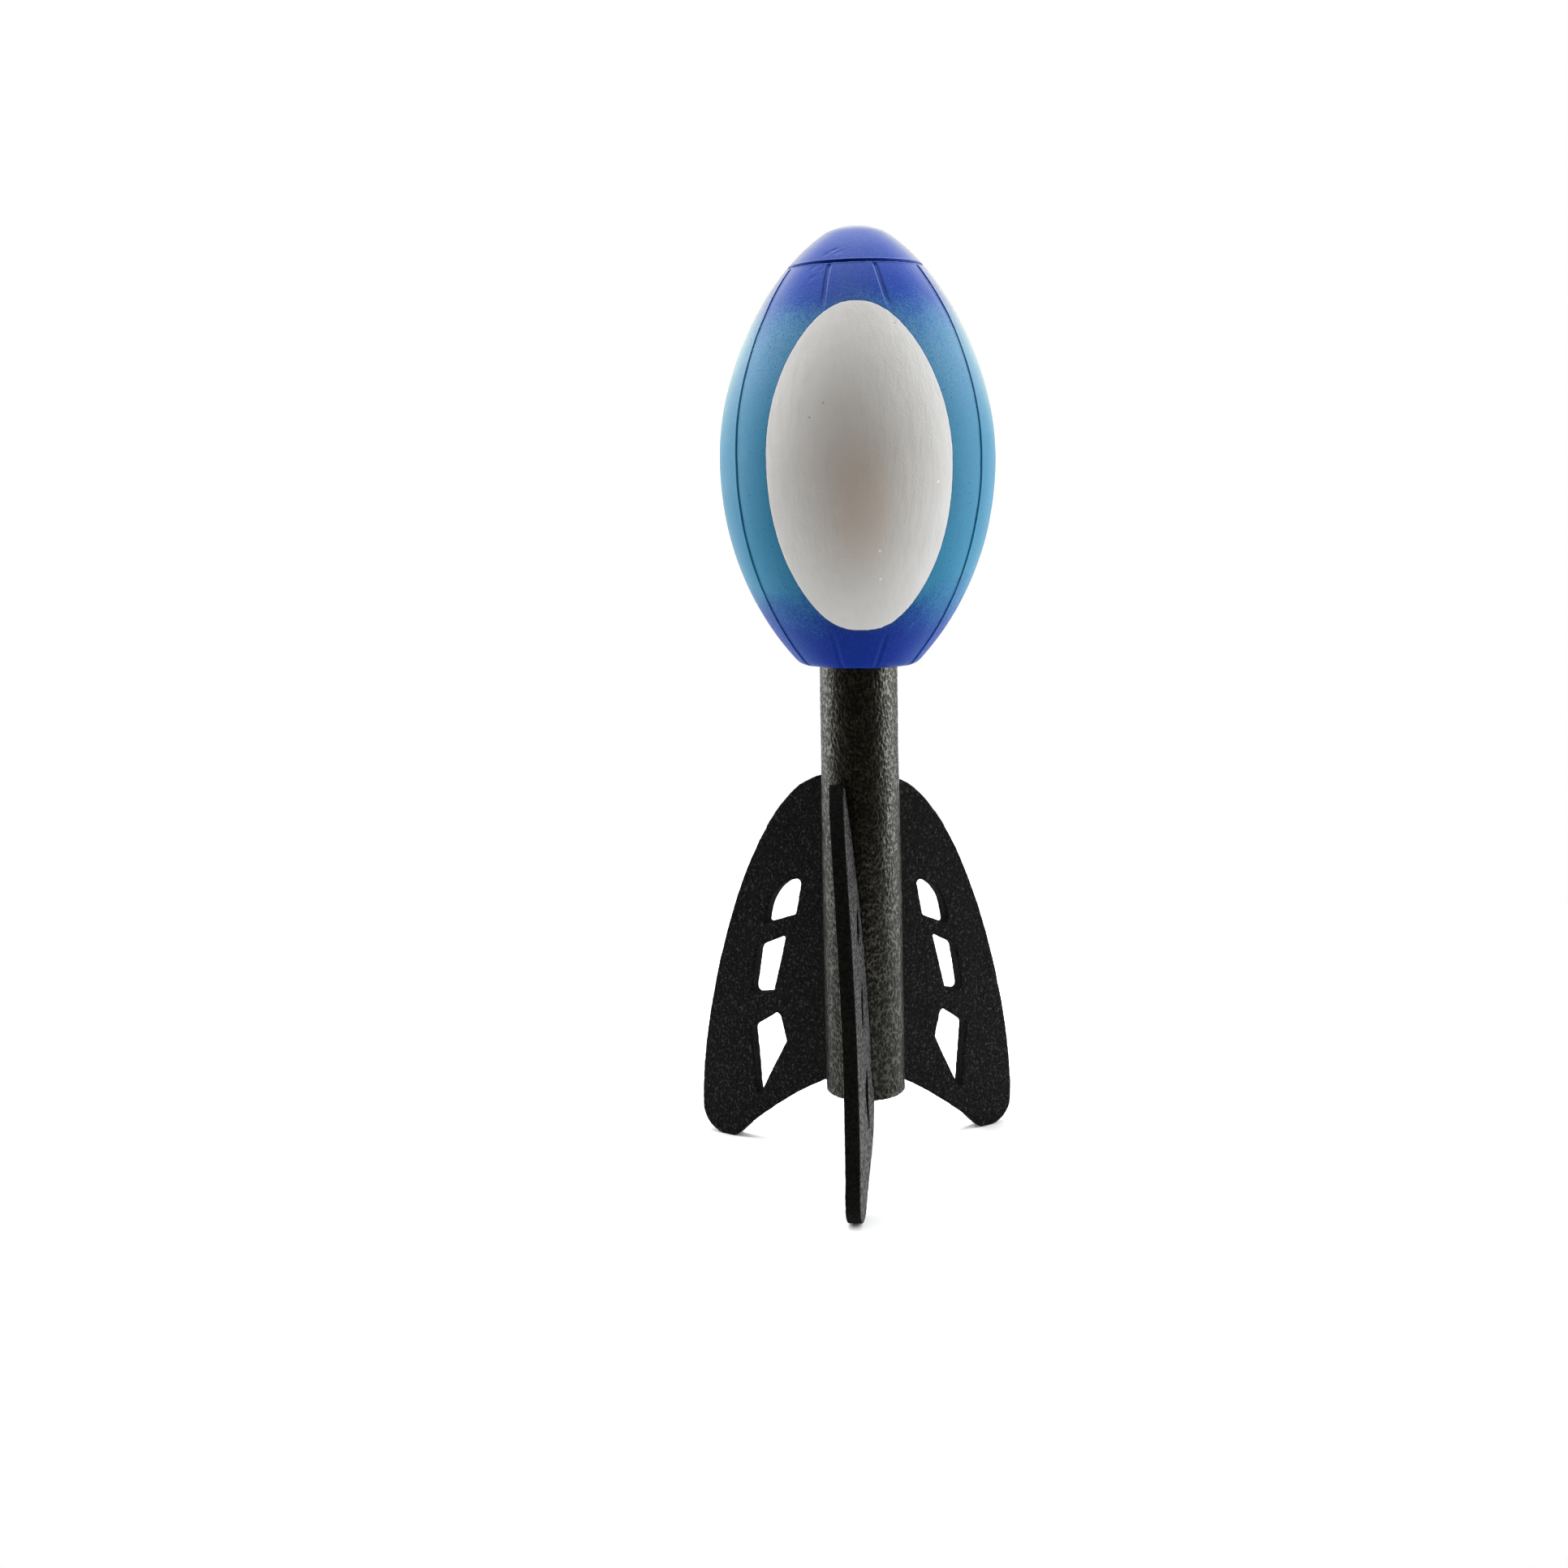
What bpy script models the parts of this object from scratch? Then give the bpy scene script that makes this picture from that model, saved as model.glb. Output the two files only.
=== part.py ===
"""Foam throwing rocket: a moulded foam head on a solid foam tail rod, with three
die-cut foam fins glued into slits in the rod.

Metres, +Z up. The origin is the centre of the rod's flat tail end, and +Z runs
along the rod to the nose. -Y is the front: the front fin points that way. The
rocket stands on the feet of its three fins, 13.1 mm below the rod's tail end.
"""

import math

import bmesh
import bpy
from mathutils import Matrix

MM = 0.001
GAP = 0.3 * MM  # clearance between neighbouring pieces

# Tail rod: a solid round rod of closed-cell foam
ROD_R = 7.4 * MM
ROD_TOP = 104.2 * MM
ROD_END_ROUND = 0.5 * MM
ROD_SEGMENTS = 48

# Head: a moulded foam egg with a flat tail end and a blind socket for the rod
HEAD_R = 24.84 * MM
HEAD_WIDEST_Z = 116.8 * MM
HEAD_NOSE_Z = 157.4 * MM
HEAD_TAIL_Z = 80.0 * MM
NOSE_LENGTH = 42.0 * MM  # from the widest level to where each half would close
TAIL_LENGTH = 43.9 * MM
NOSE_POWERS = (1.83, 1.53)  # superellipse powers along the axis and outwards
TAIL_POWERS = (2.02, 1.38)
NOSE_CAP_Z = 156.0 * MM  # the blunt tip starts here
TAIL_EDGE_Z = 81.1 * MM  # the flat end's rounded edge starts here
TAIL_FLAT_R = 9.0 * MM  # and ends here
SOCKET_R = ROD_R + GAP
SOCKET_TOP = 106.2 * MM
HEAD_SEGMENTS = 66
NOSE_STATIONS = 15
TAIL_STATIONS = 14

# Moulded grooves in the head
GROOVE_WIDTH = 0.8 * MM
GROOVE_DEPTH = 0.6 * MM
RING_Z = 150.2 * MM  # the ring round the nose
PATTERN_AZIMUTH = 0.7  # degrees from the front to the middle of the front panel
PANELS = 3
NOSE_PAIR = (-19.5, 15.7)  # the short grooves' azimuths on the front panel
TAIL_PAIR = (-16.0, 17.2)
PANEL_Z = 114.85 * MM  # the painted oval on each panel, which the grooves skirt
PANEL_HALF_HEIGHT = 27.65 * MM
PANEL_HALF_ANGLE = 39.2  # the oval's half width, degrees round the head
PANEL_POWERS = (2.29, 2.67)  # superellipse powers of its upper and lower half

# Fins: three alike, cut from foam sheet, in a plane through the rod's axis.
# Outline points are (distance from the axis, height) in millimetres.
FIN_THICKNESS = 2.4 * MM
# Each fin: azimuth, the degrees that it leans round the rod to spin the rocket, and
# the height where the leaning sheet's middle is on the radius.
FINS = {
    "fin_front": (-5.5, 3.0, 19.9 * MM),
    "fin_left": (-119.0, 2.2, 33.3 * MM),
    "fin_right": (121.0, 2.2, 33.3 * MM),
}
FOOT_Z = -13.1
FIN_ROOT_U = 7.7
LEADING_EDGE = ((7.7, 59.0), (23.5, 52.7), (34.3, 11.5), (34.3, -7.0))  # cubic curve
TRAILING_EDGE = ((7.7, 0.9), (16.7, -3.9), (26.7, -12.4))  # quadratic curve
FOOT_OUTER_ROUND = 5.2
FOOT_INNER_ROUND = 1.2
# Windows: each corner is (distance from the axis, height, corner radius)
WINDOWS = (
    ((11.55, 39.1, 0.9), (19.55, 29.5, 0.25), (13.0, 31.5, 0.6)),
    ((15.45, 27.6, 0.25), (21.5, 25.0, 1.5), (22.95, 15.5, 0.8), (18.1, 16.5, 0.8)),
    ((17.1, 13.2, 0.9), (23.6, 9.0, 1.3), (22.4, -4.8, 0.5), (15.65, 7.5, 0.6)),
)
TOP_WINDOW_BULGE = (18.6, 38.0)  # pulls the top window's outer side into a curve

# The fins' root tabs, the slits they go in, and the glue at the slits' bottoms
TAB_U = 4.6
TAB_Z = (3.3, 57.0)
GLUE_U = (3.5, 4.3)

PARTS = "foam_throwing_rocket"
CUTTERS = "cutters"


def clear_scene():
    for item in list(bpy.data.objects):
        bpy.data.objects.remove(item, do_unlink=True)
    for name in (PARTS, CUTTERS):
        old = bpy.data.collections.get(name)
        if old:
            bpy.data.collections.remove(old)
        bpy.context.scene.collection.children.link(bpy.data.collections.new(name))


def material(name, color, roughness, metallic=0.0):
    made = bpy.data.materials.new(name)
    made.use_nodes = True
    shader = made.node_tree.nodes["Principled BSDF"]
    shader.inputs["Base Color"].default_value = (*color, 1.0)
    shader.inputs["Roughness"].default_value = roughness
    shader.inputs["Metallic"].default_value = metallic
    return made


def place(item, collection):
    for old in list(item.users_collection):
        old.objects.unlink(item)
    bpy.data.collections[collection].objects.link(item)
    if collection == CUTTERS:
        item.hide_render = True
        item.display_type = "WIRE"
    return item


def turned(name, profile, segments, collection=PARTS):
    """A solid turned about Z from (radius, height) points, top to bottom outside."""
    mesh = bpy.data.meshes.new(name)
    mesh.from_pydata(
        [(r, 0.0, z) for r, z in profile],
        [(i, i + 1) for i in range(len(profile) - 1)],
        [],
    )
    item = place(bpy.data.objects.new(name, mesh), collection)
    screw = item.modifiers.new("turn", "SCREW")
    screw.axis = "Z"
    screw.angle = math.tau
    screw.steps = screw.render_steps = segments
    screw.use_merge_vertices = True
    screw.merge_threshold = 0.00001
    screw.use_smooth_shade = False
    return item


def outline_object(name, outlines, thickness):
    """A flat piece from closed (x, y) outlines in metres, as a mesh object."""
    curve = bpy.data.curves.new(name, "CURVE")
    curve.dimensions = "2D"
    curve.fill_mode = "BOTH"
    curve.extrude = thickness / 2
    for points in outlines:
        spline = curve.splines.new("POLY")
        spline.points.add(len(points) - 1)
        for point, (x, y) in zip(spline.points, points):
            point.co = (x, y, 0.0, 1.0)
        spline.use_cyclic_u = True
    guide = bpy.data.objects.new(name + "_curve", curve)
    bpy.context.scene.collection.objects.link(guide)
    bpy.context.view_layer.update()
    depsgraph = bpy.context.evaluated_depsgraph_get()
    mesh = bpy.data.meshes.new_from_object(guide.evaluated_get(depsgraph))
    work = bmesh.new()
    work.from_mesh(mesh)
    bmesh.ops.remove_doubles(work, verts=work.verts, dist=0.000005)
    work.to_mesh(mesh)
    work.free()
    item = bpy.data.objects.new(name, mesh)
    item.matrix_world = guide.matrix_world
    bpy.data.objects.remove(guide, do_unlink=True)
    bpy.data.curves.remove(curve)
    mesh.name = name
    return item


def upright(mesh):
    """Stands a flat outline up: its x stays x, its y becomes z."""
    mesh.transform(Matrix.Rotation(math.pi / 2, 4, "X"))


def cant(mesh, fin):
    """Leans a piece round the rod as that fin leans. Heights stay as they are."""
    azimuth, degrees, level = FINS[fin]
    slope = math.tan(math.radians(degrees))
    lean = Matrix.Identity(4)
    lean[1][2] = -slope
    lean[1][3] = slope * level
    mesh.transform(lean)


def azimuth_turn(azimuth):
    """The Z rotation that turns local +X to an azimuth counted from the front."""
    return math.radians(azimuth - 90.0)


def round_corner(before, corner, after, radius, steps):
    """The arc of the given radius that replaces a corner of an outline."""
    ax, ay = before[0] - corner[0], before[1] - corner[1]
    bx, by = after[0] - corner[0], after[1] - corner[1]
    la, lb = math.hypot(ax, ay), math.hypot(bx, by)
    ax, ay, bx, by = ax / la, ay / la, bx / lb, by / lb
    half = math.acos(max(-1.0, min(1.0, ax * bx + ay * by))) / 2
    reach = min(radius / math.tan(half), 0.48 * la, 0.48 * lb)
    radius = reach * math.tan(half)
    mx, my = ax + bx, ay + by
    lm = math.hypot(mx, my)
    distance = radius / math.sin(half)
    cx, cy = corner[0] + mx / lm * distance, corner[1] + my / lm * distance
    start = math.atan2(corner[1] + ay * reach - cy, corner[0] + ax * reach - cx)
    end = math.atan2(corner[1] + by * reach - cy, corner[0] + bx * reach - cx)
    sweep = (end - start + math.pi) % math.tau - math.pi
    return [
        (
            cx + radius * math.cos(start + sweep * i / steps),
            cy + radius * math.sin(start + sweep * i / steps),
        )
        for i in range(steps + 1)
    ]


def rounded(corners, steps=3):
    """An outline through (x, y, radius) corners. A radius of 0 keeps the point."""
    points = []
    for i, corner in enumerate(corners):
        after = corners[(i + 1) % len(corners)]
        if corner[2]:
            points += round_corner(corners[i - 1], corner, after, corner[2], steps)
        else:
            points.append(corner[:2])
    return points


def cubic(a, b, c, d, count):
    points = []
    for i in range(count + 1):
        t = i / count
        s = 1 - t
        points.append(
            tuple(
                s**3 * a[k] + 3 * s * s * t * b[k] + 3 * s * t * t * c[k] + t**3 * d[k]
                for k in (0, 1)
            )
        )
    return points


def quadratic(a, b, c, count):
    points = []
    for i in range(count + 1):
        t = i / count
        s = 1 - t
        points.append(
            tuple(s * s * a[k] + 2 * s * t * b[k] + t * t * c[k] for k in (0, 1))
        )
    return points


def head_radius(z):
    """The head's outer radius at a height, without its grooves."""
    if z >= HEAD_WIDEST_Z:
        along = (z - HEAD_WIDEST_Z) / NOSE_LENGTH
        p, q = NOSE_POWERS
    else:
        along = (HEAD_WIDEST_Z - z) / TAIL_LENGTH
        p, q = TAIL_POWERS
    return HEAD_R * max(0.0, 1.0 - along**p) ** (1.0 / q)


def head_slope(z):
    """How fast the radius grows with height."""
    step = 0.2 * MM
    return (head_radius(z + step) - head_radius(z - step)) / (2 * step)


def head_profile():
    """Nose to tail end down the outside, then up the socket to its blind end."""
    heights = [
        HEAD_WIDEST_Z
        + (NOSE_CAP_Z - HEAD_WIDEST_Z) * math.sin(math.pi / 2 * i / NOSE_STATIONS)
        for i in range(NOSE_STATIONS, 0, -1)
    ]
    heights += [
        HEAD_WIDEST_Z - (HEAD_WIDEST_Z - TAIL_EDGE_Z) * i / TAIL_STATIONS
        for i in range(TAIL_STATIONS + 1)
    ]
    ring = GROOVE_WIDTH / 2
    heights = [z for z in heights if abs(z - RING_Z) > 3 * ring]
    points = [(head_radius(z), z) for z in heights]
    # the ring groove, cut square to the surface
    slope = head_slope(RING_Z)
    size = math.hypot(1.0, slope)
    out = (1.0 / size, -slope / size)
    along = (-out[1], out[0])
    r = head_radius(RING_Z)
    groove = [
        (
            r + along[0] * ring * side + out[0] * GROOVE_DEPTH * depth,
            RING_Z + along[1] * ring * side + out[1] * GROOVE_DEPTH * depth,
        )
        for side, depth in ((1, 0), (0.5, -1), (-0.5, -1), (-1, 0))
    ]
    before = [p for p in points if p[1] > RING_Z]
    after = [p for p in points if p[1] < RING_Z]
    # the blunt tip and the tail end's rounded edge each leave the side on its slope
    tip = before[0]
    rise = HEAD_NOSE_Z - tip[1]
    pull = (tip[0] + head_slope(tip[1]) * rise, HEAD_NOSE_Z)
    cap = quadratic((0.0, HEAD_NOSE_Z), pull, tip, 4)
    rim = after[-1]
    pull = (rim[0] - head_slope(rim[1]) * (rim[1] - HEAD_TAIL_Z), HEAD_TAIL_Z)
    edge = quadratic(rim, pull, (TAIL_FLAT_R, HEAD_TAIL_Z), 4)
    points = cap[:-1] + before + groove + after[:-1] + edge
    return points + [
        (SOCKET_R, HEAD_TAIL_Z),
        (SOCKET_R, SOCKET_TOP),
        (0.0, SOCKET_TOP),
    ]


def blade(name, azimuth, top, bottom):
    """A cutter for one groove down the head, as deep as the groove at each height."""
    count = max(4, round((top - bottom) / (4 * MM)))
    inner, outer = [], []
    for i in range(count + 1):
        z = top + (bottom - top) * i / count
        slope = head_slope(z)
        size = math.hypot(1.0, slope)
        out = (1.0 / size, -slope / size)
        r = head_radius(z)
        inner.append((r - out[0] * GROOVE_DEPTH, z - out[1] * GROOVE_DEPTH))
        outer.append((r + out[0] * 3 * MM, z + out[1] * 3 * MM))
    item = outline_object(name, [inner + outer[::-1]], GROOVE_WIDTH)
    upright(item.data)
    item.rotation_euler = (0.0, 0.0, azimuth_turn(azimuth))
    return place(item, CUTTERS)


def panel_edge(azimuth, power, side):
    """The height of the oval's upper (1) or lower (-1) edge at a groove's azimuth."""
    away = abs(azimuth - PATTERN_AZIMUTH) / PANEL_HALF_ANGLE
    return PANEL_Z + side * PANEL_HALF_HEIGHT * (1 - away**power) ** (1 / power)


def make_head():
    head = turned("head", head_profile(), HEAD_SEGMENTS)
    tail = HEAD_TAIL_Z - 2 * MM
    blades = []
    for i in range(PANELS):
        turn = i * 360 / PANELS
        seam = PATTERN_AZIMUTH + turn + 180 / PANELS
        blades.append(blade(f"cut_seam_{i}", seam, RING_Z, tail))
        for word, azimuth in zip("ab", NOSE_PAIR):
            end = panel_edge(azimuth, PANEL_POWERS[0], 1) + 0.3 * MM
            blades.append(blade(f"cut_nose_{i}{word}", azimuth + turn, RING_Z, end))
        for word, azimuth in zip("ab", TAIL_PAIR):
            end = panel_edge(azimuth, PANEL_POWERS[1], -1) - 0.3 * MM
            blades.append(blade(f"cut_tail_{i}{word}", azimuth + turn, end, tail))
    for item in blades:
        cut = head.modifiers.new(item.name, "BOOLEAN")
        cut.operation = "DIFFERENCE"
        cut.solver = "EXACT"
        cut.object = item
    head.data.materials.append(
        material("head_foam_paint", (0.075, 0.17, 0.42), 0.55)
    )
    return head


def fin_outlines():
    """The fin's outline and its three windows, as (x, y) in metres."""
    leading = cubic(*LEADING_EDGE, 18)
    heel = quadratic(*TRAILING_EDGE, 6)
    outer = round_corner(
        (LEADING_EDGE[3][0], FOOT_Z + 3 * FOOT_OUTER_ROUND),
        (LEADING_EDGE[3][0], FOOT_Z),
        (FIN_ROOT_U, FOOT_Z),
        FOOT_OUTER_ROUND,
        6,
    )
    inner = round_corner(
        (outer[-1][0], FOOT_Z),
        (heel[-1][0] + 0.3, FOOT_Z),
        heel[-2],
        FOOT_INNER_ROUND,
        3,
    )
    outline = leading[:-1] + outer + inner + heel[-2::-1]
    outline += [
        (FIN_ROOT_U, TAB_Z[0]),
        (TAB_U, TAB_Z[0]),
        (TAB_U, TAB_Z[1]),
        (FIN_ROOT_U, TAB_Z[1]),
    ]
    top = list(WINDOWS[0])
    curve = quadratic(top[0], TOP_WINDOW_BULGE, top[1], 8)
    top[1:1] = [(*point, 0.0) for point in curve[1:-1]]
    holes = [rounded(corners) for corners in (top, *WINDOWS[1:])]
    return [[(x * MM, y * MM) for x, y in ring] for ring in [outline] + holes]


def make_fins():
    foam = material("fin_foam", (0.035, 0.035, 0.04), 0.85)
    for name, (azimuth, degrees, level) in FINS.items():
        fin = outline_object(name, fin_outlines(), FIN_THICKNESS)
        upright(fin.data)
        cant(fin.data, name)
        fin.data.materials.append(foam)
        fin.rotation_euler = (0.0, 0.0, azimuth_turn(azimuth))
        place(fin, PARTS)


def canted_box(name, low, high, half_thickness, fin, collection):
    """A box in a fin's plane, from (u, z) to (u, z), leaning as the fin leans."""
    bpy.ops.mesh.primitive_cube_add(size=1.0)
    item = bpy.context.object
    item.name = item.data.name = name
    size = (high[0] - low[0], 2 * half_thickness, high[1] - low[1])
    middle = ((low[0] + high[0]) / 2, 0.0, (low[1] + high[1]) / 2)
    item.data.transform(Matrix.Translation(middle) @ Matrix.Diagonal((*size, 1.0)))
    cant(item.data, fin)
    item.rotation_euler = (0.0, 0.0, azimuth_turn(FINS[fin][0]))
    return place(item, collection)


def make_rod():
    turns = 4
    edge = [
        (
            ROD_R - ROD_END_ROUND * (1 - math.cos(math.pi / 2 * i / turns)),
            ROD_END_ROUND * (1 - math.sin(math.pi / 2 * i / turns)),
        )
        for i in range(turns + 1)
    ]
    profile = [(0.0, ROD_TOP), (ROD_R, ROD_TOP)] + edge + [(0.0, 0.0)]
    rod = turned("tail_rod", profile, ROD_SEGMENTS)
    for name in FINS:
        slit = canted_box(
            "cut_slit_" + name,
            (GLUE_U[0] * MM - GAP, TAB_Z[0] * MM - GAP),
            (ROD_R + 3 * MM, TAB_Z[1] * MM + GAP),
            FIN_THICKNESS / 2 + GAP,
            name,
            CUTTERS,
        )
        cut = rod.modifiers.new(slit.name, "BOOLEAN")
        cut.operation = "DIFFERENCE"
        cut.solver = "EXACT"
        cut.object = slit
    rod.data.materials.append(material("rod_foam", (0.04, 0.04, 0.045), 0.75))
    return rod


def make_glue():
    glue = material("adhesive", (0.62, 0.55, 0.38), 0.45)
    pad = turned(
        "socket_glue",
        [
            (0.0, SOCKET_TOP - GAP),
            (ROD_R - GAP, SOCKET_TOP - GAP),
            (ROD_R - GAP, ROD_TOP + GAP),
            (0.0, ROD_TOP + GAP),
        ],
        32,
    )
    pad.data.materials.append(glue)
    for name in FINS:
        strip = canted_box(
            name + "_glue",
            (GLUE_U[0] * MM, TAB_Z[0] * MM),
            (GLUE_U[1] * MM, TAB_Z[1] * MM),
            FIN_THICKNESS / 2,
            name,
            PARTS,
        )
        strip.data.materials.append(glue)


clear_scene()
make_head()
make_rod()
make_fins()
make_glue()
for part in bpy.data.collections[PARTS].objects:
    if part.name in ("head", "tail_rod", "socket_glue"):
        part.modifiers["turn"].use_smooth_shade = True
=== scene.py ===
import math

import bmesh
import bpy
import numpy as np
from mathutils import Matrix


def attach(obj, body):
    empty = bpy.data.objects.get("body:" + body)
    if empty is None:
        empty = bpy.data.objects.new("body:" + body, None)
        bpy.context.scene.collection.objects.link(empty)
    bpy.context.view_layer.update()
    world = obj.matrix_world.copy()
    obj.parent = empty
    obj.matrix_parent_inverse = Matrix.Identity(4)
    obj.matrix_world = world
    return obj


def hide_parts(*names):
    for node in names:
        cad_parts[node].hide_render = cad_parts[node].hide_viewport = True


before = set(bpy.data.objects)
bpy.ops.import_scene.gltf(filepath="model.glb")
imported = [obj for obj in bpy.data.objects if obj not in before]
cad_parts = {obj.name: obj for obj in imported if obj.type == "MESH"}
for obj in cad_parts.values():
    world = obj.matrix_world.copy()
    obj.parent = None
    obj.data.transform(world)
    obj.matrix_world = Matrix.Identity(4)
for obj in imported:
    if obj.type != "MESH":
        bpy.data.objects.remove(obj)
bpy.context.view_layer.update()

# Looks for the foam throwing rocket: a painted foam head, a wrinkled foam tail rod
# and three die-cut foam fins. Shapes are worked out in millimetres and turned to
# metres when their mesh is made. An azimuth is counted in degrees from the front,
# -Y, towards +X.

MM = 0.001

# Tail rod
ROD_R = 7.4
ROD_TOP = 104.2
ROD_END_ROUND = 0.5
ROD_COLUMNS = 272
ROD_ROW = 0.24

# Head
HEAD_R = 24.84
HEAD_WIDEST_Z = 116.8
HEAD_NOSE_Z = 157.7
HEAD_TAIL_Z = 80.0
NOSE_LENGTH = 42.0
TAIL_LENGTH = 43.9
NOSE_POWERS = (1.83, 1.53)
TAIL_POWERS = (2.02, 1.38)
NOSE_CAP_Z = 156.0
TAIL_EDGE_Z = 81.1
TAIL_FLAT_R = 9.0
SOCKET_R = 7.35
SOCKET_TOP = 106.2

# The painted oval on each of the head's three panels
PANELS = 3
OVAL_AZIMUTH = 0.95
OVAL_LEAN = -0.048  # degrees of azimuth to a millimetre of height
OVAL_Z = 114.85
OVAL_HALF_ANGLE = 39.2
OVAL_HALF_HEIGHT = 27.65
OVAL_POWERS = (2.29, 2.67)  # superellipse powers of its upper and lower half

# Moulded grooves. A track gives a groove's azimuth at each of these levels.
TRACK_LEVELS = (80.0, 88.0, 115.0, 141.0, 150.2)
SEAM_TRACKS = (
    (-57.3, -57.1, -56.6, -58.6, -63.0),
    (60.1, 59.9, 59.2, 58.6, 56.6),
    (180.7, 180.7, 180.7, 180.7, 180.7),
)
STUB_TRACKS = (  # the short grooves above and below each oval
    (-15.6, -16.6, -17.3, -18.2, -20.8),
    (16.4, 18.4, 18.4, 17.9, 13.2),
)
RING_Z = 149.85
RING_TILT = 0.025
RING_SAG = 0.0029  # its sides are higher than its front and back, by this times x squared
GROOVE_HALF = 0.36
GROOVE_DEPTH = 0.6
STUB_HALF = 0.55
NOSE_STUB_DEPTH = 0.24
TAIL_STUB_DEPTH = 0.10
# Small dents beside the nose ring: azimuth, height, length, lean from upright, depth
DENTS = (
    (-26.5, 151.3, 1.3, 55, 0.11),
    (-21.0, 152.0, 1.6, 60, 0.13),
    (-17.5, 151.4, 0.8, 35, 0.10),
    (-14.0, 151.7, 0.7, 50, 0.08),
    (-33.5, 148.8, 1.1, 20, 0.12),
    (-29.0, 149.3, 0.7, 30, 0.08),
    (-30.5, 147.0, 1.5, 35, 0.13),
    (-26.0, 148.4, 1.2, 12, 0.10),
    (-28.0, 145.6, 0.8, 30, 0.07),
    (-24.0, 147.4, 0.8, 18, 0.07),
)

# Fins: outline points are (distance from the axis, height)
FIN_THICKNESS = 2.65
FINS = {"fin_front": -4.9, "fin_left": -119.0, "fin_right": 121.0}  # azimuths
SPIN_LEAN = 2.2  # degrees that the side fins lean round the rod
SPIN_LEVEL = 33.3  # and the level where that is nothing
FIN_REACH = {"fin_left": 0.4, "fin_right": 0.1}  # outer edges beyond the pattern
SIDE_TILT = -0.0245  # how far the side fins shift towards +X for each mm of height
SIDE_TILT_LEVEL = 17.7
BEND_FOOT = 1.50  # the front fin bends: this far to the side at its foot
BEND_Z = -5.0
BEND = 0.00208
BEND_POWER = 1.87
TWIST = 0.044  # and its lower part turns about its outer edge
TWIST_Z = (6.0, -6.0)
ROD_BEND_Z = 74.0  # below this level the rod leans towards +X
ROD_BEND = 0.0135
FOOT_Z = -13.1
FIN_ROOT_U = 7.7
LEADING_EDGE = ((7.7, 59.0), (23.5, 52.7), (34.3, 11.5), (34.3, -7.0))
TRAILING_EDGE = ((7.7, 0.9), (16.7, -3.9), (26.7, -12.4))
FOOT_OUTER_ROUND = 5.2
FOOT_INNER_ROUND = 1.2
WINDOWS = (
    ((11.55, 39.1, 0.85), (19.55, 29.5, 0.2), (13.0, 31.9, 0.9)),
    ((15.15, 27.75, 0.2), (21.25, 24.9, 1.8), (22.95, 15.5, 0.8), (18.1, 16.5, 0.8)),
    ((17.1, 13.2, 0.9), (23.6, 9.0, 1.3), (22.4, -4.8, 0.5), (15.65, 7.5, 0.6)),
)
INNER_CORNERS = ((0, 2), (0, 3), (0, 3))  # each window's corners nearest the rod
WINDOW_TRIMS = {  # how far each window's inner and outer corners are off the pattern
    "fin_front": ((-1.2, -3.2), (-1.0, -3.0), (-1.3, -3.1)),
    "fin_left": ((-0.25, -0.05), (-0.15, 0.0), (-0.4, -0.45)),
    "fin_right": ((0.6, -0.4), (0.65, -0.25), (0.7, -0.05)),
}
WINDOW_LIFTS = {
    "fin_front": (0.3, -0.4, -0.9),
    "fin_left": (0.3, 0.2, 0.0),
    "fin_right": (-0.05, 0.2, 0.0),
}
WINDOW_LENGTHS = {"fin_front": 0.62}  # this fin's windows have closed up as it bends
TOP_WINDOW_BULGE = (18.6, 38.0)
TAB_U = 4.6
TAB_Z = (1.4, 58.2)
SLIT_U = 2.6
GLUE_U = (3.1, 3.7)
SLIT_SLACK = 0.08
FIN_VOXEL = 0.2

FLOOR_Z = FOOT_Z


# ---------------------------------------------------------------- noise


def hashed(x, y, z, seed):
    """A repeatable number from -1 to 1 for each point of a whole-number lattice."""
    h = x.astype(np.uint32) * np.uint32(0x9E3779B1)
    h ^= y.astype(np.uint32) * np.uint32(0x85EBCA77)
    h ^= z.astype(np.uint32) * np.uint32(0xC2B2AE3D)
    h ^= np.uint32(seed * 668265263 & 0xFFFFFFFF)
    for shift, factor in ((15, 0x2C1B3C6D), (12, 0x297A2D39)):
        h ^= h >> np.uint32(shift)
        h *= np.uint32(factor)
    h ^= h >> np.uint32(15)
    return h / 2.0**31 - 1.0


def noise_at(points, seed):
    """Smooth noise, mostly from -0.7 to 0.7, with features one unit across."""
    base = np.floor(points).astype(np.int64)
    part = points - base
    ease = part**3 * (part * (part * 6 - 15) + 10)
    total = np.zeros(len(points))
    for corner in range(8):
        step = np.array([corner & 1, corner >> 1 & 1, corner >> 2 & 1])
        weight = np.prod(np.where(step, ease, 1 - ease), axis=1)
        away = part - step
        x, y, z = (base + step).T
        slope = sum(hashed(x, y, z, seed * 3 + k) * away[:, k] for k in range(3))
        total += weight * slope
    return total * 1.3


def eased(value, low, high):
    """0 below low, 1 above high, and a smooth rise between them."""
    t = np.clip((value - low) / (high - low), 0.0, 1.0)
    return t * t * (3 - 2 * t)


# ---------------------------------------------------------------- outlines


def cubic(a, b, c, d, count):
    t = np.linspace(0, 1, count + 1)[:, None]
    s = 1 - t
    a, b, c, d = (np.array(p) for p in (a, b, c, d))
    return s**3 * a + 3 * s * s * t * b + 3 * s * t * t * c + t**3 * d


def quadratic(a, b, c, count):
    t = np.linspace(0, 1, count + 1)[:, None]
    s = 1 - t
    a, b, c = (np.array(p) for p in (a, b, c))
    return s * s * a + 2 * s * t * b + t * t * c


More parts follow.
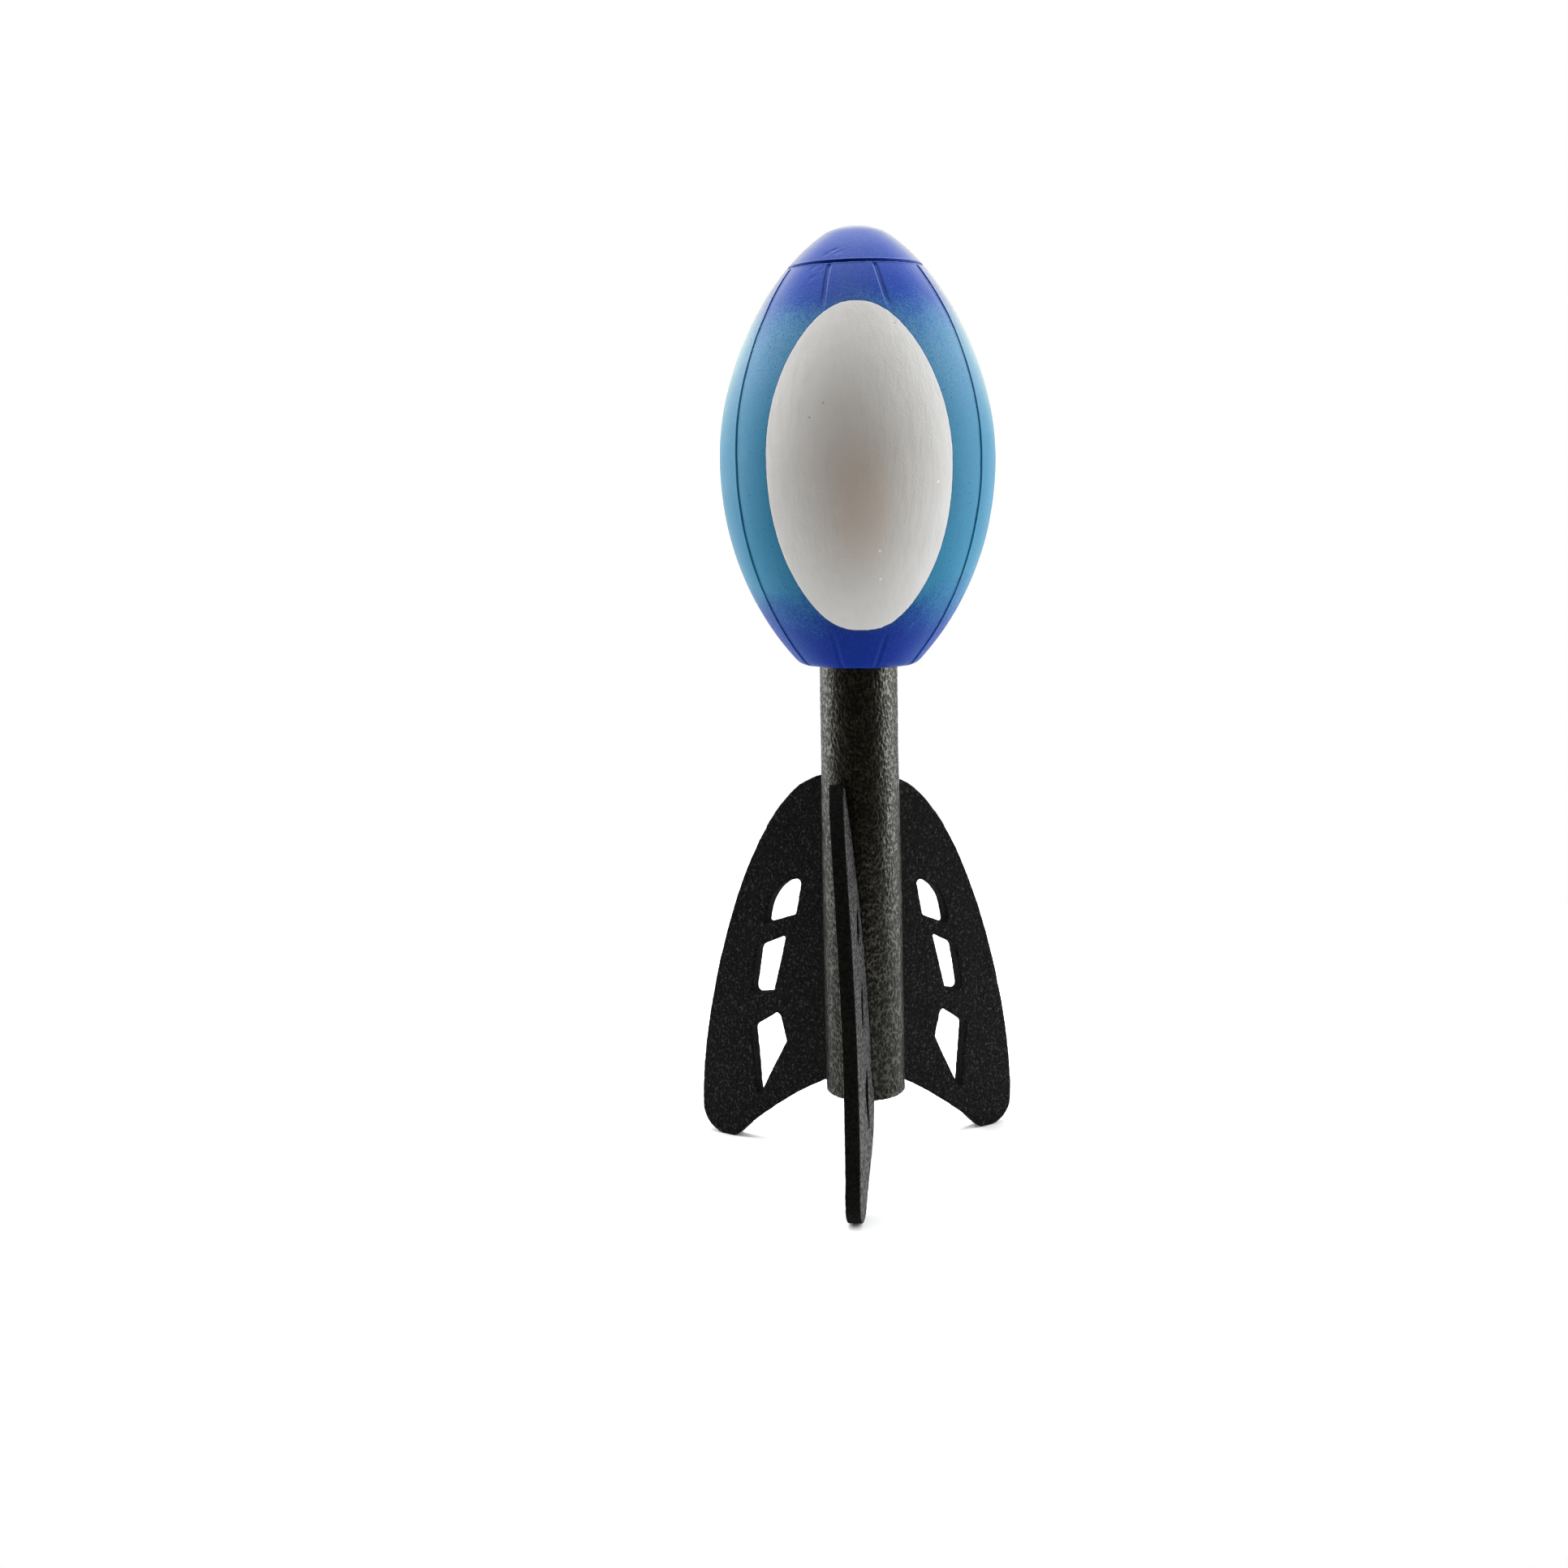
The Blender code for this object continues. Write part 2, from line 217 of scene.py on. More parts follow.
def round_corner(before, corner, after, radius, steps):
    """The arc of the given radius that replaces a corner of an outline."""
    ax, ay = before[0] - corner[0], before[1] - corner[1]
    bx, by = after[0] - corner[0], after[1] - corner[1]
    la, lb = math.hypot(ax, ay), math.hypot(bx, by)
    ax, ay, bx, by = ax / la, ay / la, bx / lb, by / lb
    half = math.acos(max(-1.0, min(1.0, ax * bx + ay * by))) / 2
    reach = min(radius / math.tan(half), 0.48 * la, 0.48 * lb)
    radius = reach * math.tan(half)
    mx, my = ax + bx, ay + by
    lm = math.hypot(mx, my)
    distance = radius / math.sin(half)
    cx, cy = corner[0] + mx / lm * distance, corner[1] + my / lm * distance
    start = math.atan2(corner[1] + ay * reach - cy, corner[0] + ax * reach - cx)
    end = math.atan2(corner[1] + by * reach - cy, corner[0] + bx * reach - cx)
    sweep = (end - start + math.pi) % math.tau - math.pi
    return [
        (
            cx + radius * math.cos(start + sweep * i / steps),
            cy + radius * math.sin(start + sweep * i / steps),
        )
        for i in range(steps + 1)
    ]


def rounded(corners, steps=6):
    """An outline through (x, y, radius) corners. A radius of 0 keeps the point."""
    points = []
    for i, corner in enumerate(corners):
        after = corners[(i + 1) % len(corners)]
        if corner[2]:
            points += round_corner(corners[i - 1], corner, after, corner[2], steps)
        else:
            points.append(corner[:2])
    return points


def fin_windows(name):
    """One fin's windows: corners as (distance from the axis, height, radius)."""
    windows = []
    length = WINDOW_LENGTHS.get(name, 1.0)
    for corners, inner, trims, lift in zip(
        WINDOWS, INNER_CORNERS, WINDOW_TRIMS[name], WINDOW_LIFTS[name]
    ):
        middle = sum(z for u, z, radius in corners) / len(corners)
        windows.append(
            [
                (
                    u + trims[0 if i in inner else 1],
                    middle + (z - middle) * length + lift,
                    radius,
                )
                for i, (u, z, radius) in enumerate(corners)
            ]
        )
    return windows


def fin_outlines(name):
    """One fin's outline and its three windows, as (x, y)."""
    leading = [tuple(p) for p in cubic(*LEADING_EDGE, 60)]
    heel = [tuple(p) for p in quadratic(*TRAILING_EDGE, 24)]
    edge_u = LEADING_EDGE[3][0]
    outer = round_corner(
        (edge_u, FOOT_Z + 3 * FOOT_OUTER_ROUND),
        (edge_u, FOOT_Z),
        (FIN_ROOT_U, FOOT_Z),
        FOOT_OUTER_ROUND,
        20,
    )
    inner = round_corner(
        (outer[-1][0], FOOT_Z),
        (heel[-1][0] + 0.3, FOOT_Z),
        heel[-6],
        FOOT_INNER_ROUND,
        6,
    )
    outline = leading[:-1] + outer + inner + heel[-4::-1]
    outline += [
        (FIN_ROOT_U, TAB_Z[0]),
        (TAB_U, TAB_Z[0]),
        (TAB_U, TAB_Z[1]),
        (FIN_ROOT_U, TAB_Z[1]),
    ]
    top, *others = fin_windows(name)
    bulge = TOP_WINDOW_BULGE
    if name in WINDOW_LENGTHS:
        bulge = (bulge[0] + WINDOW_TRIMS[name][0][1], bulge[1] - 1.2)
    curve = quadratic(top[0], (*bulge, 0.0), top[1], 16)
    top[1:1] = [(p[0], p[1], 0.0) for p in curve[3:-1]]
    return [outline] + [rounded(corners) for corners in (top, *others)]


def head_radius(z):
    z = np.asarray(z, float)
    nose = np.clip((z - HEAD_WIDEST_Z) / NOSE_LENGTH, 0, 1)
    tail = np.clip((HEAD_WIDEST_Z - z) / TAIL_LENGTH, 0, 1)
    return HEAD_R * np.where(
        z >= HEAD_WIDEST_Z,
        (1 - nose ** NOSE_POWERS[0]) ** (1 / NOSE_POWERS[1]),
        (1 - tail ** TAIL_POWERS[0]) ** (1 / TAIL_POWERS[1]),
    )


def head_slope(z):
    return float(head_radius(z + 0.1) - head_radius(z - 0.1)) / 0.2


def along(points, places):
    """Points at the given lengths along a polyline, and its outward normals."""
    points = np.array(points)
    lengths = np.concatenate(
        [[0], np.cumsum(np.hypot(*np.diff(points, axis=0).T))]
    )
    spot = np.stack([np.interp(places, lengths, points[:, k]) for k in (0, 1)], 1)
    near = [
        np.stack([np.interp(places + d, lengths, points[:, k]) for k in (0, 1)], 1)
        for d in (-0.03, 0.03)
    ]
    run = near[1] - near[0]
    run /= np.maximum(np.hypot(*run.T), 1e-9)[:, None]
    return spot, np.stack([-run[:, 1], run[:, 0]], 1)


# ---------------------------------------------------------------- meshes


def new_piece(name, vertices, faces, material, values=None):
    """A mesh object from vertices in millimetres. values are numbers per vertex."""
    mesh = bpy.data.meshes.new(name)
    mesh.from_pydata((np.asarray(vertices) * MM).tolist(), [], faces)
    mesh.validate()
    for key, numbers in (values or {}).items():
        made = mesh.attributes.new(key, "FLOAT", "POINT")
        made.data.foreach_set("value", np.asarray(numbers, np.float32))
    item = bpy.data.objects.new(name, mesh)
    bpy.context.scene.collection.objects.link(item)
    mesh.materials.append(material)
    mesh.shade_smooth()
    return item


def ring_faces(rows, columns):
    """Quads between rings of points, from the first row, a pole, to the last, a pole."""
    faces = []
    first, last = 0, 1 + rows * columns
    for j in range(columns):
        k = (j + 1) % columns
        faces.append((first, 1 + j, 1 + k))
    for i in range(rows - 1):
        a, b = 1 + i * columns, 1 + (i + 1) * columns
        for j in range(columns):
            k = (j + 1) % columns
            faces.append((a + j, b + j, b + k, a + k))
    a = 1 + (rows - 1) * columns
    for j in range(columns):
        k = (j + 1) % columns
        faces.append((a + j, last, a + k))
    return faces


def evaluated_copy(item, name):
    """A new object with the item's modifiers applied. The item is removed."""
    bpy.context.view_layer.update()
    depsgraph = bpy.context.evaluated_depsgraph_get()
    mesh = bpy.data.meshes.new_from_object(item.evaluated_get(depsgraph))
    mesh.transform(item.matrix_world)
    bpy.data.objects.remove(item, do_unlink=True)
    mesh.name = name
    made = bpy.data.objects.new(name, mesh)
    bpy.context.scene.collection.objects.link(made)
    return made


def coordinates(mesh):
    """A mesh's vertices and vertex normals."""
    points = np.zeros(len(mesh.vertices) * 3, np.float32)
    mesh.vertices.foreach_get("co", points)
    normals = np.zeros(len(mesh.vertices) * 3, np.float32)
    mesh.vertex_normals.foreach_get("vector", normals)
    return points.reshape(-1, 3).astype(float), normals.reshape(-1, 3).astype(float)


def rod_squeeze(z):
    """The rod is thinner where the head grips it: this share of its radius there."""
    return 1.0 - 0.034 * eased(z, 38.0, 68.0)


def rod_shift(z):
    """How far the rod's axis is towards +X at a height: it leans a little."""
    return ROD_BEND * 3.0 * np.logaddexp(0.0, (ROD_BEND_Z - z) / 3.0)


def fin_place(name, u, w, z):
    """World x and y of points (u out, w across) of a fin, as it leans and bends."""
    drawn_in = 0.2 + ROD_R * (1.0 - rod_squeeze(z))  # its root follows the rod's side
    u = u - drawn_in * (1.0 - eased(u, FIN_ROOT_U, FIN_ROOT_U + 4.0))
    if name == "fin_front":
        w = w + BEND_FOOT - BEND * np.maximum(z - BEND_Z, 0.0) ** BEND_POWER
        w = w + TWIST * (34.3 - u) * eased(-z, -TWIST_Z[0], -TWIST_Z[1])
        shift = 0.0
    else:
        w = w + math.tan(math.radians(SPIN_LEAN)) * (SPIN_LEVEL - z)
        edge = LEADING_EDGE[2][0] * np.sqrt(np.clip((62.0 - z) / 62.0, 0.05, 1.0))
        u = u + FIN_REACH[name] * eased(u / edge, 0.72, 0.95)
        shift = SIDE_TILT * (z - SIDE_TILT_LEVEL)
    turn = math.radians(FINS[name] - 90.0)
    c, s = math.cos(turn), math.sin(turn)
    return u * c - w * s + shift, u * s + w * c


# ---------------------------------------------------------------- head


def head_rows():
    """Rings down the outside of the head and up its socket: radius, height, normal."""
    tip = (float(head_radius(NOSE_CAP_Z)), NOSE_CAP_Z)
    pull = (tip[0] + head_slope(NOSE_CAP_Z) * (HEAD_NOSE_Z - NOSE_CAP_Z), HEAD_NOSE_Z)
    cap = quadratic((0.0, HEAD_NOSE_Z), pull, tip, 60)
    z = NOSE_CAP_Z - (NOSE_CAP_Z - TAIL_EDGE_Z) * np.linspace(0, 1, 3001)[1:-1]
    side = np.stack([head_radius(z), z], 1)
    rim = (float(head_radius(TAIL_EDGE_Z)), TAIL_EDGE_Z)
    pull = (rim[0] - head_slope(TAIL_EDGE_Z) * (TAIL_EDGE_Z - HEAD_TAIL_Z), HEAD_TAIL_Z)
    edge = quadratic(rim, pull, (TAIL_FLAT_R, HEAD_TAIL_Z), 60)
    lip = quadratic(
        (SOCKET_R + 0.35, HEAD_TAIL_Z),
        (SOCKET_R, HEAD_TAIL_Z),
        (SOCKET_R, HEAD_TAIL_Z + 0.35),
        12,
    )
    outline = np.concatenate([cap, side, edge, lip])
    lengths = np.concatenate([[0], np.cumsum(np.hypot(*np.diff(outline, axis=0).T))])
    drop = np.interp(RING_Z, outline[::-1, 1], lengths[::-1])
    # rows are close together at the nose ring and on the dents beside it
    places, s = [], 0.25
    while s < lengths[-1]:
        places.append(s)
        away = abs(s - drop)
        s += 0.1 if away < 1.15 else 0.24 if away < 5.5 else 0.56
    places = np.array(places + [lengths[-1]])
    spots, normals = along(outline, places)
    deep = [(SOCKET_R, z) for z in np.linspace(HEAD_TAIL_Z + 2, SOCKET_TOP, 9)]
    floor = [(r, SOCKET_TOP) for r in (6.0, 4.0, 2.0)]
    spots = np.concatenate([spots, deep, floor])
    normals = np.concatenate([normals, np.zeros((len(deep) + len(floor), 2))])
    return spots, normals


def groove_tracks():
    """Every upright groove's azimuths at TRACK_LEVELS: the seams, then the stubs."""
    seams = [np.array(track) for track in SEAM_TRACKS]
    stubs = [
        np.array(track) + 360 / PANELS * i for i in range(PANELS) for track in STUB_TRACKS
    ]
    return seams, stubs


def head_columns():
    """Azimuths round the head at the widest level, close together at each groove."""
    seams, stubs = groove_tracks()
    grooves = sorted(track[2] % 360 for track in seams + stubs)
    offsets = [0.12, 0.24, 0.36, 0.48, 0.62, 0.78, 1.0]
    offsets = [-o for o in offsets[::-1]] + [0.0] + offsets
    degree = 180 / math.pi / HEAD_R
    columns = []
    for i, groove in enumerate(grooves):
        columns += [groove + o * degree for o in offsets]
        start = groove + offsets[-1] * degree
        end = grooves[(i + 1) % len(grooves)] + 360 * (i + 1 == len(grooves))
        end += offsets[0] * degree
        count = round((end - start) / degree / 0.56)
        columns += [start + (end - start) * k / count for k in range(1, count)]
    return np.array(columns)


def oval_reach(azimuth):
    """The oval's upper and lower height at an azimuth from its middle."""
    away = abs(azimuth) / OVAL_HALF_ANGLE
    rise, fall = ((1 - away**p) ** (1 / p) for p in OVAL_POWERS)
    return OVAL_Z + OVAL_HALF_HEIGHT * rise, OVAL_Z - OVAL_HALF_HEIGHT * fall


def groove_section(distance, half):
    """A groove's depth from 0 to 1, and its raised lip, at distances from its middle."""
    t = np.abs(distance) / half
    floor = 1 - eased(t, 0.25, 1.0)
    lip = np.exp(-(((t - 1.25) / 0.3) ** 2))
    return floor, lip


def make_head(material):
    spots, normals = head_rows()
    azimuths = head_columns()
    radius, height = spots[:, 0][:, None], spots[:, 1][:, None]
    outside = (np.abs(normals).sum(1) > 0)[:, None]
    # columns follow the grooves' tracks
    seams, stubs = groove_tracks()
    tracks = sorted(seams + stubs, key=lambda track: track[2] % 360)
    angle = np.zeros((len(spots), len(azimuths)))
    for i, level in enumerate(spots[:, 1]):
        level = min(level, RING_Z)
        drift = [np.interp(level, TRACK_LEVELS, t - t[2]) for t in tracks]
        start = [track[2] % 360 for track in tracks]
        angle[i] = azimuths + np.interp(azimuths, start, drift, period=360)
    z = height + 0 * angle
    cut = np.zeros_like(angle)
    lip = np.zeros_like(angle)
    x0, y0 = radius * np.sin(np.radians(angle)), -radius * np.cos(np.radians(angle))
    place = np.stack([x0, y0, z], -1).reshape(-1, 3)
    wander = noise_at(place * 0.16, 11).reshape(angle.shape)

    # the ring round the nose, which is a little out of level
    level = RING_Z + RING_TILT * x0 + RING_SAG * x0**2
    slope = math.hypot(1.0, head_slope(RING_Z))
    floor, edge = groove_section((z - level) * slope + 0.12 * wander, GROOVE_HALF)
    near_side = (z > 120) * 1.0
    cut = np.maximum(cut, floor * near_side * GROOVE_DEPTH)
    lip = np.maximum(lip, edge * near_side)

    def upright_groove(track, half, depth, strength):
        middle = np.interp(z, TRACK_LEVELS, track)
        away = (angle - middle + 180) % 360 - 180
        distance = np.radians(away) * radius + 0.10 * wander
        distance = np.where(np.abs(away) < 60, distance, 99.0)
        floor, edge = groove_section(distance, half)
        return floor * strength * depth, edge * strength

    rim = 1 - eased(-radius, -10.4, -9.4) * (z < 90)
    grooves = []
    for track in seams:
        seam = eased(level - z, 0.3, 0.9) * rim
        grooves.append(upright_groove(track, GROOVE_HALF, GROOVE_DEPTH, seam))
    for track in stubs:
        lean = (track[2] + 60) % 120 - 60 - OVAL_AZIMUTH
        top, bottom = oval_reach(lean)
        nose = eased(z, top + 0.1, top + 3.5) * eased(level - z, 0.2, 0.9)
        tail = eased(-z, -bottom + 1.6, -bottom + 3.4) * rim
        grooves.append(upright_groove(track, STUB_HALF, NOSE_STUB_DEPTH, nose))
        grooves.append(upright_groove(track, STUB_HALF, TAIL_STUB_DEPTH, tail))
    for floor, edge in grooves:
        cut = np.maximum(cut, floor)
        lip = np.maximum(lip, edge)

    # dents beside the ring
    dent = np.zeros_like(angle)
    for azimuth, level, length, lean, depth in DENTS:
        away = (angle - azimuth + 180) % 360 - 180
        across = np.where(np.abs(away) < 30, np.radians(away) * radius, 99.0)
        up = (z - level) * math.hypot(1.0, head_slope(level))
        c, s = math.cos(math.radians(lean)), math.sin(math.radians(lean))
        lengthways, widthways = up * c + across * s, across * c - up * s
        hollow = (lengthways / (length / 2)) ** 2 + (widthways / 0.22) ** 2
        dent += depth * np.exp(-hollow)

    shape = (
        0.05 * noise_at(place * 0.09, 1)
        + 0.022 * noise_at(place * 0.28, 2)
        + 0.006 * noise_at(place * 1.1, 3)
    ).reshape(angle.shape)
    push = (shape - cut - dent + 0.05 * lip * (1 - cut / GROOVE_DEPTH)) * outside
    r = radius + normals[:, :1] * push
    h = z + normals[:, 1:] * push
    points = np.stack(
        [r * np.sin(np.radians(angle)), -r * np.cos(np.radians(angle)), h], -1
    ).reshape(-1, 3)
    points = np.concatenate(
        [[(0.0, 0.0, HEAD_NOSE_Z)], points, [(0.0, 0.0, SOCKET_TOP)]]
    )
    groove = np.concatenate([[0], (cut / GROOVE_DEPTH).ravel(), [0]])
    faces = ring_faces(len(spots), len(azimuths))
    head = new_piece("head_foam", points, faces, material, {"groove": groove})
    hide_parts("head")
    return head


# ---------------------------------------------------------------- tail rod


def cell_walls(points, seed):
    """How near points are to the walls between random cells one unit across: 0 on them."""
    base = np.floor(points).astype(np.int64)
    first = np.full(len(points), 9.0)
    second = first.copy()
    for near in range(27):
        cell = base + (near // 9 - 1, near // 3 % 3 - 1, near % 3 - 1)
        x, y, z = cell.T
        apart = cell + 0.5 - points
        for k in range(3):
            apart[:, k] += 0.46 * hashed(x, y, z, seed * 3 + k)
        far = np.sqrt((apart**2).sum(1))
        second = np.minimum(second, np.maximum(first, far))
        first = np.minimum(first, far)
    return second - first


def wrinkles(place):
    """The height of the rod's skin from 0 to 1: a net of thin ridges round dark pits."""
    x, y, z = place.T
    azimuth = np.arctan2(x, -y)
    radius = np.hypot(x, y)
    grain = noise_at(place / 0.40, 21)
    drift = noise_at(place * 0.45, 35) - 0.45 * np.sin(azimuth)
    drift = eased(drift, -0.25, 0.25)
    height = 0.10 + 0.30 * grain
    for lean, seed, share in ((0.058, 31, drift), (-0.045, 32, 1 - drift)):
        turned = azimuth + lean * z + 0.035 * noise_at(place / 1.1, seed + 8)
        spot = np.stack(
            [
                radius * np.sin(turned) / 0.53,
                -radius * np.cos(turned) / 0.53,
                z / 1.12 + seed,
            ],
            1,
        )
        wall = cell_walls(spot, seed) / (0.34 + 0.18 * grain)
        line = np.clip(1 - wall**1.6, 0, 1)
        faint = 0.90 + 0.40 * noise_at(place / 1.6, seed + 5)
        height = np.maximum(height, line * faint * eased(share, 0.0, 0.7))
    return np.clip(height, 0.0, 1.0)


def make_rod(material):
    turns = 7
    edge = [
        (
            ROD_R - ROD_END_ROUND * (1 - math.cos(math.pi / 2 * i / turns)),
            ROD_END_ROUND * (1 - math.sin(math.pi / 2 * i / turns)),
        )
        for i in range(turns + 1)
    ]
    flat_r = edge[-1][0]
    shown = np.arange(HEAD_TAIL_Z + 1.0, ROD_END_ROUND, -ROD_ROW)
    outline = [(2.5, ROD_TOP), (5.0, ROD_TOP), (ROD_R - 0.25, ROD_TOP)]
    outline += [(ROD_R - 0.05, z) for z in (ROD_TOP - 0.3, 98, 92, 86, 83)]
    skin = len(outline)
    outline += [(ROD_R - 0.05, z) for z in shown]
    outline += edge
    face = len(outline)
    outline += [(flat_r * (1 - i / 18), 0.0) for i in range(1, 18)]
    outline = np.array(outline)
    run = np.gradient(outline, axis=0)
    run /= np.maximum(np.hypot(*run.T), 1e-9)[:, None]
    out = np.stack([-run[:, 1], run[:, 0]], 1)

    angle = (np.arange(ROD_COLUMNS) * 360 / ROD_COLUMNS)[None, :]
    radius, z = outline[:, :1] + 0 * angle, outline[:, 1:] + 0 * angle
    place = np.stack(
        [radius * np.sin(np.radians(angle)), -radius * np.cos(np.radians(angle)), z],
        -1,
    ).reshape(-1, 3)
    ridge = wrinkles(place).reshape(angle.shape[0] * len(outline), -1)
    index = np.arange(len(outline))[:, None] + 0 * angle.astype(int)
    cells = noise_at(place * 1.6, 41) * 0.5 + noise_at(place * 3.1, 42) * 0.35
    cells = cells.reshape(index.shape)
    ridge = ridge.reshape(index.shape)
    side = (index >= skin) & (index < face)
    end = index >= face
    ridge = np.where(end, np.clip(0.35 + cells, 0, 1), ridge)
    slow = (noise_at(place * 0.12, 43) * 0.09).reshape(index.shape)
    push = np.where(side, 0.125 * (ridge - 0.9) + slow, 0.0)
    push = np.where(end, 0.07 * (cells - 0.4), push)
    r = radius * rod_squeeze(z) + out[:, :1] * push
    h = z + out[:, 1:] * push
    points = np.stack(
        [r * np.sin(np.radians(angle)), -r * np.cos(np.radians(angle)), h], -1
    ).reshape(-1, 3)
    points = np.concatenate([[(0, 0, ROD_TOP)], points, [(0, 0, -0.02)]])
    points[:, 0] += rod_shift(points[:, 2])
    points[:, 2] = np.maximum(points[:, 2], 0.0)
    values = {
        "ridge": np.concatenate([[0.5], ridge.ravel(), [0.5]]),
        "end": np.concatenate([[0], end.ravel() * 1.0, [1]]),
    }
    faces = ring_faces(len(outline), ROD_COLUMNS)
    rod = new_piece("rod_blank", points, faces, material, values)
    cutters = []
    for name in FINS:
        cutters.append(slit_cutter(name))
        cut = rod.modifiers.new("slit_" + name, "BOOLEAN")
        cut.operation = "DIFFERENCE"
        cut.solver = "EXACT"
        cut.object = cutters[-1]
    made = evaluated_copy(rod, "rod_foam_skin")
    for cutter in cutters:
        bpy.data.objects.remove(cutter, do_unlink=True)
    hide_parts("tail_rod")
    return made


def slit_cutter(name):
    """What cuts a fin's slit in the rod: a slab that leans and bows as the fin does."""
    half = FIN_THICKNESS / 2 + SLIT_SLACK
    levels = np.linspace(TAB_Z[0] - 0.1, TAB_Z[1] + 0.1, 28)
    corners = ((SLIT_U, -half), (ROD_R + 3.0, -half), (ROD_R + 3.0, half), (SLIT_U, half))
    work = bmesh.new()
    rings = []
    for z in levels:
        rings.append(
            [work.verts.new((*fin_place(name, u, w, z), z)) for u, w in corners]
        )
    work.faces.new(rings[0][::-1])
    work.faces.new(rings[-1])
    for low, high in zip(rings, rings[1:]):
        for k in range(4):
            work.faces.new((low[k], low[k - 3], high[k - 3], high[k]))
    bmesh.ops.triangulate(work, faces=work.faces)
    mesh = bpy.data.meshes.new("slit_" + name)
    work.to_mesh(mesh)
    work.free()
    mesh.transform(Matrix.Scale(MM, 4))
    item = bpy.data.objects.new("slit_" + name, mesh)
    item.hide_render = True
    bpy.context.scene.collection.objects.link(item)
    return item


def make_glue_bead(name, material):
    """The uneven bead of glue at the bottom of a fin's slit."""
    u_low, u_high = GLUE_U
    levels = np.linspace(*TAB_Z, 90)
    columns = 20
    points = [(*fin_place(name, (u_low + u_high) / 2, 0.0, levels[0]), levels[0])]
    for i, z in enumerate(levels):
        size = 1.0 - 0.75 * (i in (0, len(levels) - 1))
        for j in range(columns):
            way = math.tau * j / columns
            c, s = math.cos(way), math.sin(way)
            spot = np.array([[c * 1.7 + 40, s * 1.7, z * 0.8 + FINS[name]]])
            lump = size * (1.0 + 0.22 * float(noise_at(spot, 71)[0]) - 0.10)
            u = (u_low + u_high) / 2 + (u_high - u_low) / 2 * lump * math.copysign(
                abs(c) ** 0.6, c
            )
            w = (FIN_THICKNESS / 2 - 0.05) * lump * math.copysign(abs(s) ** 0.6, s)
            points.append((*fin_place(name, u, w, z), z))
    points.append((*fin_place(name, (u_low + u_high) / 2, 0.0, levels[-1]), levels[-1]))
    faces = ring_faces(len(levels), columns)
    bead = new_piece(name + "_glue_bead", points, faces, material)
    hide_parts(name + "_glue")
    return bead


# ---------------------------------------------------------------- fins


def fin_blank(name):
    """A fin cut from sheet, as an even fine mesh: x outwards, z up, in millimetres."""
    curve = bpy.data.curves.new("fin_cut", "CURVE")
    curve.dimensions = "2D"
    curve.fill_mode = "BOTH"
    curve.extrude = FIN_THICKNESS / 2
    for points in fin_outlines(name):
        spline = curve.splines.new("POLY")
        spline.points.add(len(points) - 1)
        for point, (x, y) in zip(spline.points, points):
            point.co = (x, y, 0.0, 1.0)
        spline.use_cyclic_u = True
    guide = bpy.data.objects.new("fin_cut", curve)
    bpy.context.scene.collection.objects.link(guide)
    solid = evaluated_copy(guide, "fin_solid")
    bpy.data.curves.remove(curve)
    work = bmesh.new()
    work.from_mesh(solid.data)
    bmesh.ops.remove_doubles(work, verts=work.verts, dist=0.0005)
    bmesh.ops.recalc_face_normals(work, faces=work.faces)
    work.to_mesh(solid.data)
    work.free()
    grid = solid.modifiers.new("grid", "REMESH")
    grid.mode = "VOXEL"
    grid.voxel_size = FIN_VOXEL
    grid.use_smooth_shade = True
    made = evaluated_copy(solid, "fin_blank")
    made.data.transform(Matrix.Rotation(math.pi / 2, 4, "X"))
    return made


def make_fin(name, material):
    """One fin: its grain, its lean and bend, and its place."""
    fin = fin_blank(name)
    mesh = fin.data
    points, normals = coordinates(mesh)
    seed = 50 + sorted(FINS).index(name) * 7
    u, w, z = points.T
    facing = eased(np.abs(normals[:, 1]), 0.74, 0.97)
    shown = eased(u, FIN_ROOT_U - 0.6, FIN_ROOT_U)
    stretch = np.array([1.0, 1.0, 0.55])
    grain = (
        noise_at(points * stretch * 2.6 + seed, seed) * 0.65
        + noise_at(points * 1.3 + seed, seed + 1) * 0.35
    )
    cells = noise_at(points * 1.9 + seed, seed + 2)
    torn = noise_at(points * np.array([0.5, 1.3, 0.5]) + seed, seed + 3)
    slow = noise_at(points * 0.12 + seed, seed + 4)
    push = facing * (0.072 * grain + 0.035 * slow) - 0.02 * facing
    push += (1 - facing) * (0.05 * cells + 0.08 * torn - 0.05)
    push *= shown
    push -= (1 - shown) * 0.03
    points = points + normals * push[:, None]
    points[:, 2] = np.where(z < FOOT_Z + 0.3, np.maximum(points[:, 2], FOOT_Z), points[:, 2])
    u, w, z = points.T
    place = np.stack([*fin_place(name, u, w, z), z], 1)
    mesh.vertices.foreach_set("co", (place * MM).astype(np.float32).ravel())
    for key, numbers in (("cut", 1 - facing), ("grain", grain)):
        made = mesh.attributes.new(key, "FLOAT", "POINT")
        made.data.foreach_set("value", numbers.astype(np.float32))
    mesh.update()
    fin.name = mesh.name = name + "_foam"
    mesh.materials.clear()
    mesh.materials.append(material)
    mesh.shade_smooth()
    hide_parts(name)
    return fin


# ---------------------------------------------------------------- materials


